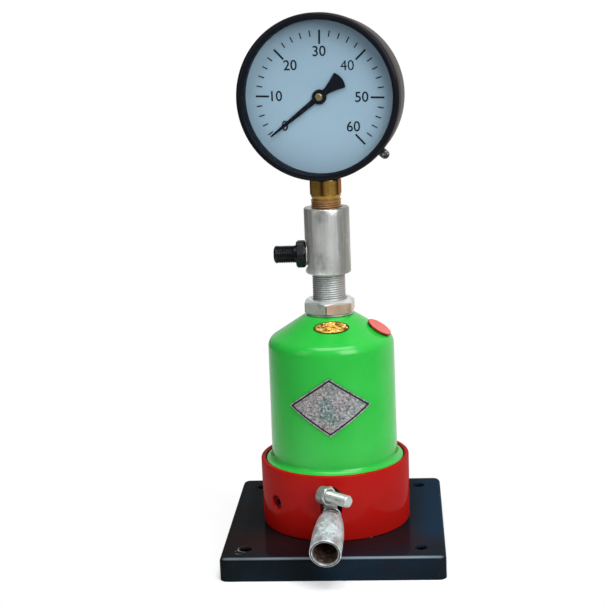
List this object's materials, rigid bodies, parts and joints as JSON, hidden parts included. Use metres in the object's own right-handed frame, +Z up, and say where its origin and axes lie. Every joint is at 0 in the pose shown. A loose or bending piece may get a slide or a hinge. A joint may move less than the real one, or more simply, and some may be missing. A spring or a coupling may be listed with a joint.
{
  "type": "diesel injector tester",
  "caption": "Hand-lever pump on a square tray with a ring base, bell-shaped fuel tank, side outlet and round pressure gauge, for testing diesel injectors.",
  "frame": {"origin": "on the bench under the middle of the whole object, lever socket included; the pump's axis stands 12.75 mm behind it", "axes": "+Z up along the pump's axis, -Y to the front, where the lever's socket points, +X to the viewer's right, away from the outlet"},
  "size_m": [0.145, 0.1804, 0.3545],
  "materials": {
    "green_paint": "gloss",
    "red_paint": "gloss",
    "red_plastic": "gloss",
    "black_paint": "gloss",
    "black_oxide": "blackened",
    "turned_steel": "turned",
    "zinc_plate": "zinc plated",
    "cast_iron": "as cast",
    "brass": "machined",
    "phosphor_bronze": "drawn",
    "copper": "annealed",
    "black_rubber": "matte",
    "gold_foil": "foil",
    "etched_aluminium": "satin",
    "clear_glass": "clear",
    "dial_white": "satin"
  },
  "bodies": {
    "stand": {"barrel": "turned_steel", "barrel_screw": "zinc_plate", "base_ring": "red_paint", "base_tray": "black_paint", "blowout_plug": "black_rubber", "bourdon_tip": "brass", "bourdon_tube": "phosphor_bronze", "case_screw_1": "zinc_plate", "case_screw_2": "zinc_plate", "connector_body": "turned_steel", "delivery_gasket": "copper", "delivery_valve_seat": "turned_steel", "filler_strainer": "brass", "fulcrum_pin": "turned_steel", "gauge_bezel": "black_paint", "gauge_case": "black_paint", "gauge_dial": "dial_white", "gauge_glass": "clear_glass", "gauge_seal": "copper", "gauge_stem": "brass", "hairspring": "phosphor_bronze", "lock_nut": "turned_steel", "lock_washer": "turned_steel", "movement_back_plate": "brass", "movement_front_plate": "brass", "nameplate": "etched_aluminium", "outlet_union": "black_oxide", "outlet_washer": "copper", "oval_plate": "gold_foil", "pump_body": "cast_iron", "ring_screw_1": "red_paint", "ring_screw_2": "red_paint", "ring_screw_3": "red_paint", "seal_lug": "zinc_plate", "seal_screw": "zinc_plate", "tank_cover": "green_paint", "tank_gasket": "black_rubber", "tray_screw_1": "zinc_plate", "tray_screw_2": "zinc_plate", "tray_screw_3": "zinc_plate", "valve_holder": "turned_steel"},
    "lever": {"rocker_arm": "turned_steel", "roller_pin": "turned_steel", "lever_socket": "zinc_plate", "clamp_stud": "zinc_plate", "clamp_nut": "zinc_plate"},
    "roller": {"tappet_roller": "turned_steel"},
    "lifter": {"tappet": "turned_steel", "plunger": "turned_steel", "lower_spring_seat": "turned_steel", "plunger_spring": "turned_steel"},
    "valve": {"delivery_valve": "turned_steel", "delivery_valve_spring": "turned_steel"},
    "cap": {"filler_cap": "red_plastic"},
    "sector": {"sector_gear": "brass"},
    "link": {"movement_link": "turned_steel"},
    "hand": {"pinion_arbor": "turned_steel", "pointer": "black_paint", "pointer_cap": "brass"}
  },
  "joints": [
    {"name": "lever_swing", "type": "hinge", "parent": "stand", "child": "lever", "pos_m": [-0.0009, -0.02475, 0.044], "axis": [1, 0, 0], "range_deg": [0, 8.5]},
    {"name": "roller_spin", "type": "hinge", "parent": "lever", "child": "roller", "pos_m": [-0.0009, 0.01275, 0.04122], "axis": [1, 0, 0], "continuous": true},
    {"name": "plunger_lift", "type": "slide", "parent": "stand", "child": "lifter", "axis": [0, 0, 1], "range_m": [0, 0.00556], "stiffness_N_per_m": 284, "springref_m": -0.01125, "deforming": ["plunger_spring"]},
    {"name": "valve_lift", "type": "slide", "parent": "stand", "child": "valve", "axis": [0, 0, 1], "range_m": [0, 0.0018], "stiffness_N_per_m": 1500, "springref_m": -0.003, "deforming": ["delivery_valve_spring"]},
    {"name": "cap_pull", "type": "slide", "parent": "stand", "child": "cap", "axis": [0.5364, -0.0946, 0.8387], "range_m": [0, 0.02]},
    {"name": "sector_turn", "type": "hinge", "parent": "stand", "child": "sector", "pos_m": [0, 0.01275, 0.277], "axis": [-0.165, -0.9863, 0], "range_deg": [0, 43.97], "stiffness_Nm_per_rad": 0.002, "springref_deg": -28.65},
    {"name": "link_turn", "type": "hinge", "parent": "sector", "child": "link", "pos_m": [0.00986, 0.0111, 0.27451], "axis": [-0.165, -0.9863, 0], "range_deg": [-43.97, 0]},
    {"name": "pointer_turn", "type": "hinge", "parent": "stand", "child": "hand", "pos_m": [0, 0.01275, 0.3015], "axis": [0.165, 0.9863, 0], "range_deg": [0, 263.8]}
  ],
  "couplings": [
    {"joint": "lever_swing", "follows": "plunger_lift", "rad_per_m": 26.667},
    {"joint": "link_turn", "follows": "sector_turn", "ratio": -1},
    {"joint": "pointer_turn", "follows": "sector_turn", "ratio": 6}
  ]
}
